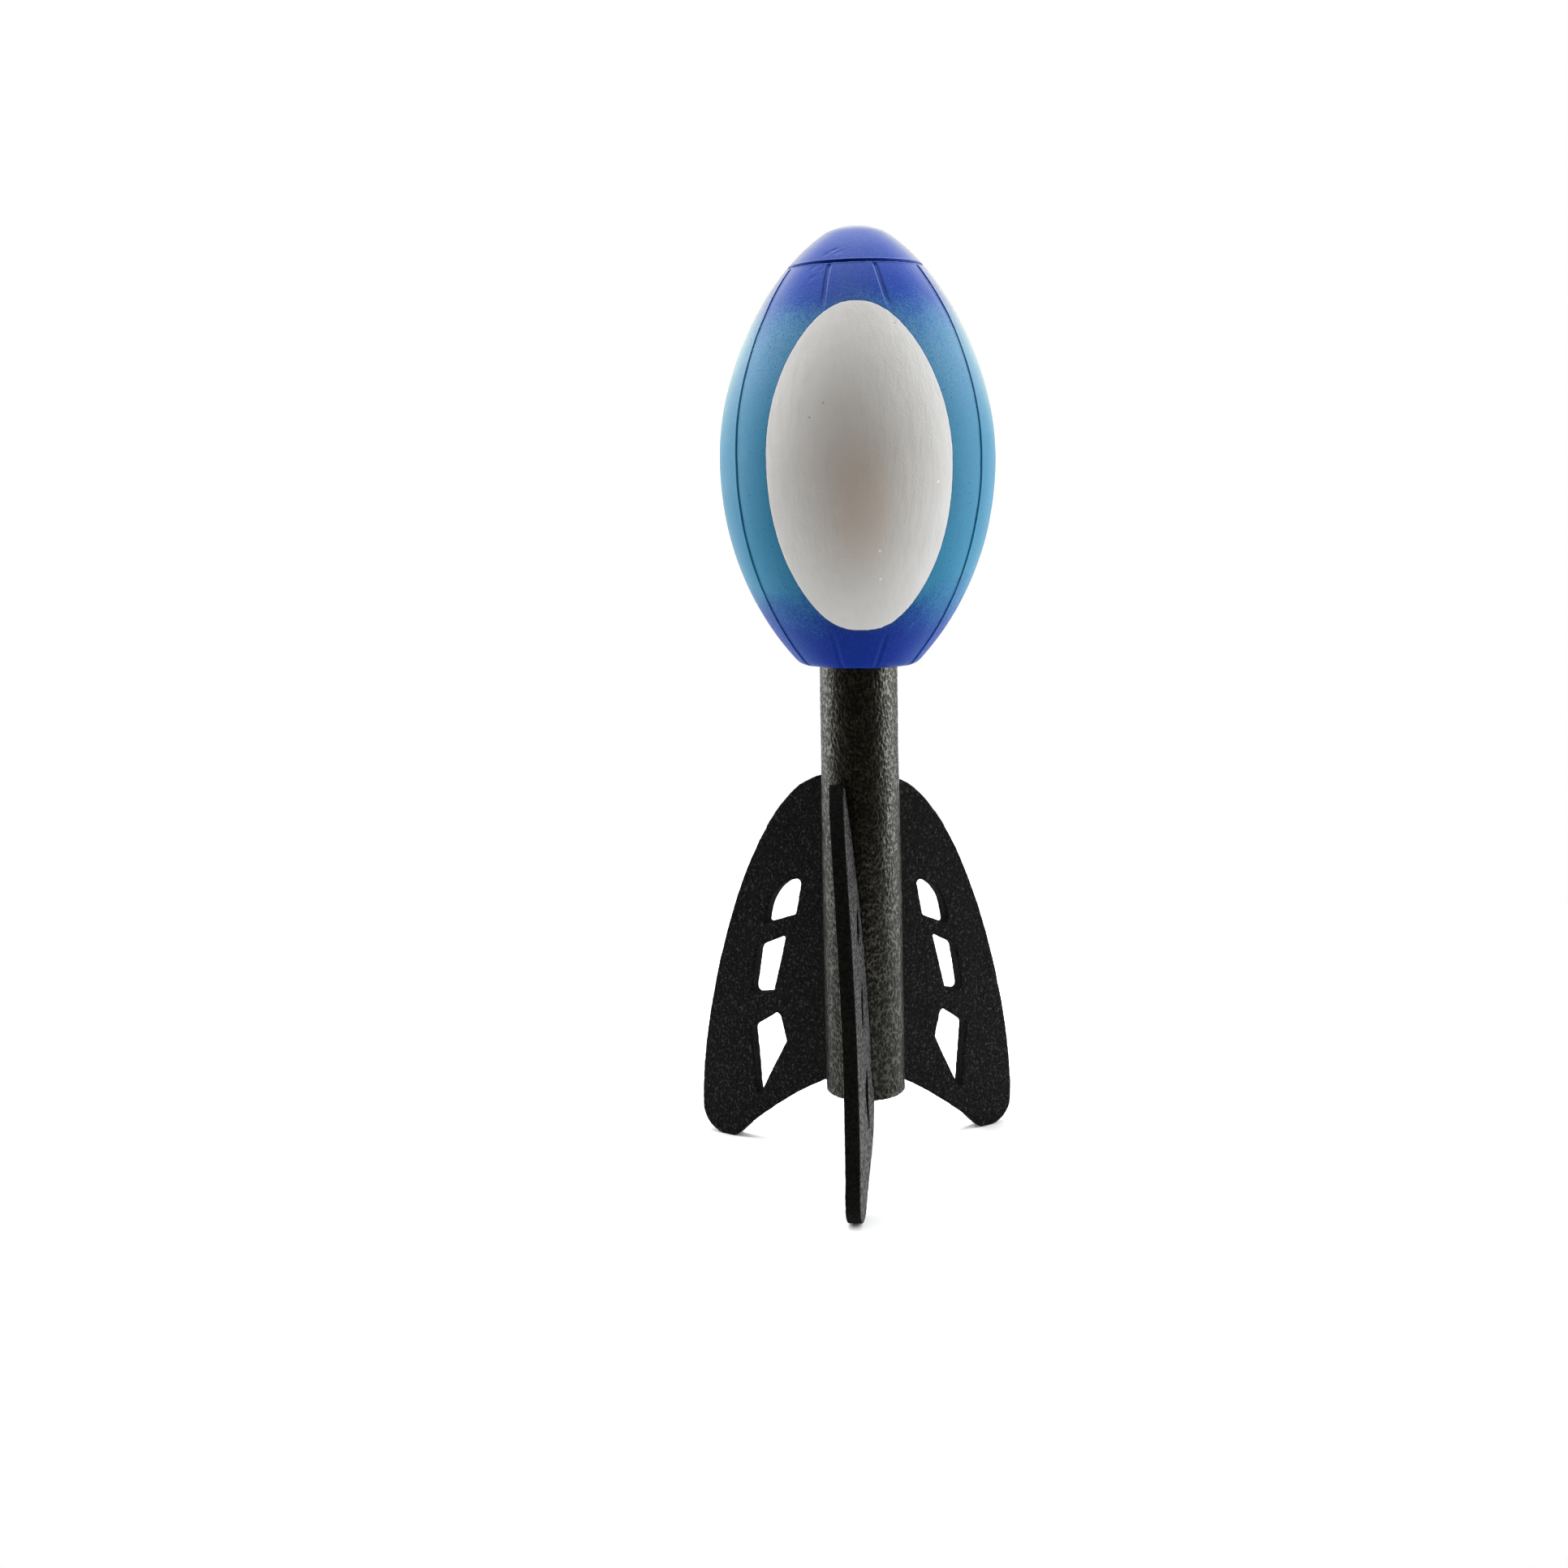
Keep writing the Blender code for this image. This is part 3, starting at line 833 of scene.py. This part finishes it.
class Graph:
    """A material's nodes, built from short calls. Lengths in them are millimetres."""

    def __init__(self, name):
        self.material = bpy.data.materials.new(name)
        self.material.use_nodes = True
        self.tree = self.material.node_tree
        self.shader = self.tree.nodes["Principled BSDF"]
        coordinate = self.tree.nodes.new("ShaderNodeTexCoord")
        self.place = self.vector("SCALE", coordinate.outputs["Object"], scale=1 / MM)
        split = self.tree.nodes.new("ShaderNodeSeparateXYZ")
        self.tree.links.new(self.place, split.inputs[0])
        self.x, self.y, self.z = split.outputs

    def feed(self, socket, value):
        if isinstance(value, bpy.types.NodeSocket):
            self.tree.links.new(value, socket)
        else:
            socket.default_value = value

    def vector(self, operation, a, b=None, scale=None):
        node = self.tree.nodes.new("ShaderNodeVectorMath")
        node.operation = operation
        self.feed(node.inputs[0], a)
        if b is not None:
            self.feed(node.inputs[1], b)
        if scale is not None:
            node.inputs["Scale"].default_value = scale
        return node.outputs["Vector"]

    def math(self, operation, a, b=0.0, c=0.0):
        node = self.tree.nodes.new("ShaderNodeMath")
        node.operation = operation
        for socket, value in zip(node.inputs, (a, b, c)):
            self.feed(socket, value)
        return node.outputs[0]

    def ease(self, value, low, high, to_low=0.0, to_high=1.0):
        node = self.tree.nodes.new("ShaderNodeMapRange")
        node.interpolation_type = "SMOOTHSTEP"
        for key, number in (
            ("Value", value),
            ("From Min", low),
            ("From Max", high),
            ("To Min", to_low),
            ("To Max", to_high),
        ):
            self.feed(node.inputs[key], number)
        return node.outputs["Result"]

    def noise(self, scale, detail=2.0, stretch=(1, 1, 1), shift=0.0, rough=0.5):
        where = self.vector("MULTIPLY", self.place, stretch)
        where = self.vector("ADD", where, (shift, shift * 0.7, shift * 0.3))
        node = self.tree.nodes.new("ShaderNodeTexNoise")
        self.feed(node.inputs["Vector"], where)
        node.inputs["Scale"].default_value = scale
        node.inputs["Detail"].default_value = detail
        node.inputs["Roughness"].default_value = rough
        return node.outputs["Fac"]

    def dots(self, scale, size, share, shift=0.0):
        """1 in small round dots, of which only a share of the cells has one."""
        where = self.vector("ADD", self.place, (shift, shift, shift))
        node = self.tree.nodes.new("ShaderNodeTexVoronoi")
        self.feed(node.inputs["Vector"], where)
        node.inputs["Scale"].default_value = scale
        node.inputs["Randomness"].default_value = 1.0
        pick = self.tree.nodes.new("ShaderNodeSeparateColor")
        self.tree.links.new(node.outputs["Color"], pick.inputs[0])
        chosen = self.math("LESS_THAN", pick.outputs[0], share)
        near = self.ease(node.outputs["Distance"], size * 0.6, size, 1.0, 0.0)
        return self.math("MULTIPLY", chosen, near)

    def mix(self, factor, a, b):
        node = self.tree.nodes.new("ShaderNodeMix")
        node.data_type = "RGBA"
        self.feed(node.inputs["Factor"], factor)
        for socket, value in ((node.inputs[6], a), (node.inputs[7], b)):
            self.feed(socket, (*value, 1.0) if isinstance(value, tuple) else value)
        return node.outputs[2]

    def facing(self, blend):
        """0 where the surface is seen straight on, to 1 at its outline. For sheen only."""
        node = self.tree.nodes.new("ShaderNodeLayerWeight")
        node.inputs["Blend"].default_value = blend
        return node.outputs["Facing"]

    def value(self, name):
        node = self.tree.nodes.new("ShaderNodeAttribute")
        node.attribute_name = name
        return node.outputs["Fac"]

    def bump(self, height, distance, strength=1.0, onto=None):
        node = self.tree.nodes.new("ShaderNodeBump")
        node.inputs["Strength"].default_value = strength
        node.inputs["Distance"].default_value = distance * MM
        self.feed(node.inputs["Height"], height)
        if onto is not None:
            self.feed(node.inputs["Normal"], onto)
        return node.outputs["Normal"]


def head_paint():
    g = Graph("head_paint")
    s = g.shader.inputs
    # each panel's oval
    azimuth = g.math("ARCTAN2", g.x, g.math("MULTIPLY", g.y, -1.0))
    middle = g.math(
        "MULTIPLY_ADD",
        g.math("SUBTRACT", g.z, OVAL_Z),
        math.radians(OVAL_LEAN),
        math.radians(OVAL_AZIMUTH),
    )
    third = math.pi / PANELS
    across = g.math("WRAP", g.math("SUBTRACT", azimuth, middle), third, -third)
    upper = g.math("GREATER_THAN", g.z, OVAL_Z)
    power = g.math(
        "MULTIPLY_ADD", upper, OVAL_POWERS[0] - OVAL_POWERS[1], OVAL_POWERS[1]
    )
    sides = (
        g.math("DIVIDE", g.math("ABSOLUTE", across), math.radians(OVAL_HALF_ANGLE)),
        g.math(
            "DIVIDE",
            g.math("ABSOLUTE", g.math("SUBTRACT", g.z, OVAL_Z)),
            OVAL_HALF_HEIGHT,
        ),
    )
    u, v = (g.math("POWER", side, power) for side in sides)
    reach = g.math("POWER", g.math("ADD", u, v), g.math("DIVIDE", 1.0, power))
    ragged = g.math("SUBTRACT", g.noise(1.3, 3.0), 0.5)
    reach = g.math("MULTIPLY_ADD", ragged, 0.010, reach)
    oval = g.ease(reach, 0.9965, 1.0025, 1.0, 0.0)
    line = g.math(
        "MULTIPLY",
        g.ease(reach, 0.9995, 1.003),
        g.ease(reach, 1.004, 1.016, 1.0, 0.0),
    )

    # the sprayed bands: royal blue at the nose, steel blue, navy at the tail end
    cloud = g.math("SUBTRACT", g.noise(0.12, 2.0, shift=7.0), 0.5)
    level = g.math("MULTIPLY_ADD", cloud, 9.0, g.z)
    drops = g.noise(3.6, 2.0, rough=0.6, shift=3.0)
    coarse = g.noise(0.9, 2.0, shift=19.0)
    spray = g.math("MULTIPLY_ADD", coarse, 0.25, g.math("MULTIPLY", drops, 1.1))
    spray = g.math("SUBTRACT", spray, 0.675)
    nose = g.ease(level, 131.0, 149.0)
    nose = g.ease(g.math("MULTIPLY_ADD", spray, 1.0, nose), 0.1, 0.9)
    tail = g.ease(level, 82.0, 101.0, 1.0, 0.0)
    tail = g.ease(g.math("MULTIPLY_ADD", spray, 1.0, tail), 0.1, 0.9)
    beside = g.ease(g.math("ABSOLUTE", across), math.radians(24), math.radians(58))
    tail = g.math("MULTIPLY", tail, g.math("MULTIPLY_ADD", beside, -0.12, 1.0))
    flank = g.math("MULTIPLY", beside, g.ease(g.z, 138.0, 149.0, 0.22, 0.0))
    nose = g.math("MULTIPLY", nose, g.math("SUBTRACT", 1.0, flank))
    steel = g.mix(g.noise(0.35, 3.0, shift=5.0), (0.013, 0.156, 0.278), (0.023, 0.186, 0.316))
    haze = g.ease(g.noise(2.6, 3.0, shift=27.0, rough=0.6), 0.36, 0.64, 0.12, 0.58)
    haze = g.math("MULTIPLY", haze, g.ease(g.z, 119.0, 136.0))
    steel = g.mix(haze, steel, (0.140, 0.250, 0.430))
    blue = g.mix(nose, steel, (0.002, 0.033, 0.282))
    blue = g.mix(tail, blue, (0.0015, 0.0205, 0.228))
    mottle = g.ease(g.noise(3.2, 2.0, shift=31.0), 0.35, 0.75, 0.0, 0.12)
    mottle = g.math("MULTIPLY", mottle, g.math("MULTIPLY_ADD", tail, -0.65, 1.0))
    blue = g.mix(mottle, blue, (0.10, 0.24, 0.50))
    fleck = g.dots(0.85, 0.20, 0.25, 2.0)
    blue = g.mix(g.math("MULTIPLY", fleck, 0.55), blue, (0.012, 0.05, 0.17))
    # painted shade: the paint is darker down in the grooves and seams, where shade falls
    groove = g.ease(g.value("groove"), 0.25, 0.95)
    blue = g.mix(g.math("MULTIPLY", groove, 0.6), blue, (0.006, 0.030, 0.12))

    # the oval's warm pale grey
    pale = g.mix(g.noise(0.12, 2.0, shift=40.0), (0.628, 0.630, 0.622), (0.700, 0.703, 0.698))
    # painted shade: the middle of each oval is darker and warmer, where it faces the dim light
    # from the front
    painted_centre_shade = g.math(
        "MULTIPLY",
        g.ease(g.math("ABSOLUTE", across), math.radians(2), math.radians(20), 1.0, 0.0),
        g.ease(g.math("ABSOLUTE", g.math("SUBTRACT", g.z, 109.0)), 2.0, 16.0, 1.0, 0.0),
    )
    pale = g.mix(g.math("MULTIPLY", painted_centre_shade, 0.8), pale, (0.640, 0.570, 0.505))
    grime = g.ease(g.noise(0.9, 4.0, (1.0, 1.0, 0.35), 50.0), 0.45, 0.8)
    pale = g.mix(g.math("MULTIPLY", grime, 0.10), pale, (0.44, 0.42, 0.37))
    pale = g.mix(g.dots(0.30, 0.10, 0.35, 60.0), pale, (0.86, 0.86, 0.84))
    pale = g.mix(
        g.math("MULTIPLY", g.dots(0.42, 0.09, 0.10, 70.0), 0.6), pale, (0.20, 0.19, 0.18)
    )
    colour = g.mix(oval, blue, pale)
    colour = g.mix(g.math("MULTIPLY", line, 0.55), colour, (0.020, 0.05, 0.11))
    g.feed(s["Base Color"], colour)

    sheen_of_paint = g.math("MULTIPLY_ADD", g.noise(1.1, 3.0, shift=80.0), 0.16, 0.40)
    g.feed(s["Roughness"], g.math("MULTIPLY_ADD", oval, 0.05, sheen_of_paint))
    g.feed(s["Specular IOR Level"], g.ease(g.z, 82.0, 98.0, 0.045, 0.09))
    rim = g.ease(g.facing(0.5), 0.25, 0.78)
    milky = g.ease(g.z, 116.0, 150.0, 0.15, 1.0)
    milky = g.math("MULTIPLY", milky, g.ease(g.z, 84.0, 100.0, 0.0, 1.0))
    milky = g.math("MULTIPLY", milky, rim)
    g.feed(s["Sheen Weight"], g.math("MULTIPLY_ADD", milky, 0.85, 0.02))
    s["Sheen Roughness"].default_value = 0.38
    s["Sheen Tint"].default_value = (1.0, 1.0, 0.58, 1.0)
    fine = g.bump(g.noise(3.6, 3.0, shift=90.0), 0.035)
    wrinkle = g.math(
        "MULTIPLY", g.noise(0.75, 3.0, (1.0, 1.0, 0.22), 100.0), oval
    )
    soft = g.bump(wrinkle, 0.07, onto=fine)
    g.feed(s["Normal"], soft)
    return g.material


def rod_foam():
    g = Graph("rod_foam_black")
    s = g.shader.inputs
    ridge = g.value("ridge")
    end = g.value("end")
    fine = g.noise(4.0, 3.0, shift=4.0, rough=0.6)
    tone = g.math("MULTIPLY_ADD", g.math("SUBTRACT", fine, 0.5), 0.9, ridge)
    tone = g.ease(tone, 0.35, 0.95)
    # painted shade: the pits are darker than the ridges, where shade falls in them
    colour = g.mix(tone, (0.0034, 0.0032, 0.0024), (0.013, 0.0125, 0.0098))
    speck = g.dots(1.1, 0.16, 0.12, 9.0)
    colour = g.mix(g.math("MULTIPLY", speck, 0.4), colour, (0.05, 0.05, 0.045))
    colour = g.mix(g.math("MULTIPLY", end, 0.5), colour, (0.010, 0.010, 0.009))
    g.feed(s["Base Color"], colour)
    g.feed(s["Roughness"], g.ease(tone, 0.0, 1.0, 0.36, 0.27))
    # painted shade: the pits are less glossy than the ridges, and the gloss weakens towards the
    # bottom, where the fins shade the rod
    gloss = g.ease(tone, 0.05, 0.95, 0.17, 0.62)
    gloss = g.math("MULTIPLY", gloss, g.ease(g.z, 5.0, 60.0, 0.60, 0.94))
    g.feed(s["Specular IOR Level"], gloss)
    s["Specular Tint"].default_value = (1.0, 0.988, 0.86, 1.0)
    g.feed(s["Normal"], g.bump(g.noise(5.0, 2.0, shift=18.0), 0.010))
    return g.material


def fin_foam():
    g = Graph("fin_foam_black")
    s = g.shader.inputs
    cut = g.ease(g.value("cut"), 0.2, 0.9)
    grain = g.noise(3.4, 3.0, (1.0, 1.0, 0.5), 6.0, 0.6)
    tiny = g.noise(6.5, 2.0, shift=14.0)
    tone = g.math("MULTIPLY_ADD", tiny, 0.5, g.math("MULTIPLY", grain, 0.8))
    skin = g.mix(g.ease(tone, 0.55, 0.95), (0.0006, 0.0006, 0.0006), (0.008, 0.0078, 0.0075))
    # lighter grain, partly painted highlight on the skin's small bumps
    grain_and_painted_highlight = g.ease(g.noise(2.1, 4.0, (1.0, 0.8, 0.85), 36.0, 0.68), 0.53, 0.67)
    skin = g.mix(g.math("MULTIPLY", grain_and_painted_highlight, 0.7), skin, (0.047, 0.046, 0.043))
    speck = g.dots(1.3, 0.16, 0.14, 24.0)
    skin = g.mix(g.math("MULTIPLY", speck, 0.35), skin, (0.10, 0.098, 0.094))
    cells = g.noise(1.8, 4.0, shift=26.0, rough=0.6)
    raw = g.mix(g.ease(cells, 0.35, 0.75), (0.0015, 0.0015, 0.0013), (0.009, 0.0087, 0.008))
    g.feed(s["Base Color"], g.mix(cut, skin, raw))
    g.feed(s["Roughness"], g.math("MULTIPLY_ADD", cut, 0.22, g.ease(tone, 0.4, 0.9, 0.66, 0.50)))
    s["Specular IOR Level"].default_value = 0.04
    grit = g.ease(g.noise(2.6, 3.0, (1.0, 0.35, 0.8), 44.0, 0.6), 0.38, 0.64, 0.0, 0.48)
    g.feed(s["Sheen Weight"], g.math("MULTIPLY", grit, g.math("SUBTRACT", 1.0, cut)))
    s["Sheen Roughness"].default_value = 0.30
    rough_skin = g.bump(tone, 0.10)
    rough_cut = g.bump(g.math("MULTIPLY", cells, cut), 0.35, onto=rough_skin)
    g.feed(s["Normal"], rough_cut)
    return g.material


def dried_glue():
    g = Graph("dried_glue")
    s = g.shader.inputs
    tone = g.noise(0.8, 3.0)
    g.feed(
        s["Base Color"], g.mix(g.ease(tone, 0.3, 0.7), (0.62, 0.56, 0.40), (0.74, 0.70, 0.58))
    )
    g.feed(s["Roughness"], g.ease(g.noise(2.0, 2.0, shift=3.0), 0.3, 0.7, 0.25, 0.45))
    g.feed(s["Normal"], g.bump(g.noise(1.5, 3.0, shift=8.0), 0.12))
    return g.material


# ---------------------------------------------------------------- studio


def world_light():
    """Soft light from all round, dim towards the camera's side, on a white ground."""
    world = bpy.data.worlds.new("studio")
    bpy.context.scene.world = world
    world.use_nodes = True
    tree = world.node_tree
    tree.nodes.clear()
    out = tree.nodes.new("ShaderNodeOutputWorld")
    direction = tree.nodes.new("ShaderNodeTexCoord")
    split = tree.nodes.new("ShaderNodeSeparateXYZ")
    tree.links.new(direction.outputs["Generated"], split.inputs[0])
    half = tree.nodes.new("ShaderNodeMath")
    half.operation = "MULTIPLY_ADD"
    half.inputs[1].default_value = 0.5
    half.inputs[2].default_value = 0.5
    tree.links.new(split.outputs["Y"], half.inputs[0])
    ramp = tree.nodes.new("ShaderNodeValToRGB")
    ramp.color_ramp.interpolation = "EASE"
    stops = WORLD_STOPS
    while len(ramp.color_ramp.elements) < len(stops):
        ramp.color_ramp.elements.new(0.5)
    for element, (position, colour) in zip(ramp.color_ramp.elements, stops):
        element.position = position
        element.color = (*colour, 1.0)
    tree.links.new(half.outputs[0], ramp.inputs[0])
    light = tree.nodes.new("ShaderNodeBackground")
    light.inputs["Strength"].default_value = WORLD_STRENGTH
    tree.links.new(ramp.outputs[0], light.inputs["Color"])
    ground = tree.nodes.new("ShaderNodeBackground")
    ground.inputs["Color"].default_value = (1.0, 1.0, 1.0, 1.0)
    ground.inputs["Strength"].default_value = 1.0
    path = tree.nodes.new("ShaderNodeLightPath")
    choose = tree.nodes.new("ShaderNodeMixShader")
    tree.links.new(path.outputs["Is Camera Ray"], choose.inputs[0])
    tree.links.new(light.outputs[0], choose.inputs[1])
    tree.links.new(ground.outputs[0], choose.inputs[2])
    tree.links.new(choose.outputs[0], out.inputs[0])


WORLD_STRENGTH = 1.7
WORLD_STOPS = (  # from straight behind the camera's side to straight behind the rocket
    (0.00, (0.050, 0.034, 0.019)),
    (0.20, (0.072, 0.052, 0.034)),
    (0.40, (0.225, 0.214, 0.196)),
    (0.50, (0.740, 0.755, 0.770)),
    (0.62, (1.000, 1.000, 1.000)),
    (1.00, (0.700, 0.700, 0.700)),
)
PANEL_LIGHTS = (  # name, place, size, power
    ("left_panel", (-0.53, 0.17, 0.27), (0.40, 0.55), 3.2),
    ("right_panel", (0.55, 0.05, 0.22), (0.40, 0.55), 4.1),
    ("top_panel", (-0.05, 0.03, 0.68), (0.60, 0.40), 4.8),
)
LIGHT_COLOUR = (0.965, 0.985, 1.0)
FLOOR_RADIUS = 0.24
FLOOR_Y = 0.105


def studio():
    world_light()
    for name, place, size, power in PANEL_LIGHTS:
        data = bpy.data.lights.new(name, "AREA")
        data.shape = "RECTANGLE"
        data.size, data.size_y = size
        data.energy = power
        data.color = LIGHT_COLOUR
        lamp = bpy.data.objects.new(name, data)
        aim = Matrix.Translation(place).to_translation() * -1
        aim.z += 0.09
        lamp.location = place
        lamp.rotation_euler = aim.to_track_quat("-Z", "Y").to_euler()
        bpy.context.scene.collection.objects.link(lamp)
    mesh = bpy.data.meshes.new("floor")
    work = bmesh.new()
    bmesh.ops.create_circle(work, cap_ends=True, radius=FLOOR_RADIUS, segments=180)
    work.to_mesh(mesh)
    work.free()
    floor = bpy.data.objects.new("floor", mesh)
    floor.location = (0.0, FLOOR_Y, (FLOOR_Z - 0.02) * MM)
    bpy.context.scene.collection.objects.link(floor)
    g = Graph("floor_white")
    g.feed(
        g.shader.inputs["Base Color"],
        g.mix(g.noise(0.05, 2.0), (0.90, 0.90, 0.90), (0.93, 0.93, 0.93)),
    )
    g.shader.inputs["Roughness"].default_value = 0.9
    g.shader.inputs["Specular IOR Level"].default_value = 0.2
    mesh.materials.append(g.material)

    camera = bpy.data.cameras.new("camera")
    camera.lens = 37.23
    camera.sensor_width = 36.0
    camera.shift_x = -0.0477
    camera.shift_y = -0.0450
    camera.clip_start = 0.01
    eye = bpy.data.objects.new("camera", camera)
    turn = Matrix.Rotation(math.radians(83.55), 4, "X") @ Matrix.Rotation(
        math.radians(-0.29), 4, "Z"
    )
    eye.matrix_world = Matrix.Translation((0.0, -0.295, 0.1043)) @ turn
    bpy.context.scene.collection.objects.link(eye)
    bpy.context.scene.camera = eye
    bpy.context.scene.view_settings.view_transform = "Standard"
    bpy.context.scene.view_settings.look = "None"


# ---------------------------------------------------------------- the rocket


studio()
pieces = [make_head(head_paint()), make_rod(rod_foam())]
fin_material = fin_foam()
for name in FINS:
    pieces.append(make_fin(name, fin_material))
for piece in pieces:
    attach(piece, "root")

glue = dried_glue()
for name in FINS:
    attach(make_glue_bead(name, glue), "root")
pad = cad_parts["socket_glue"]
pad.data.materials.clear()
pad.data.materials.append(glue)
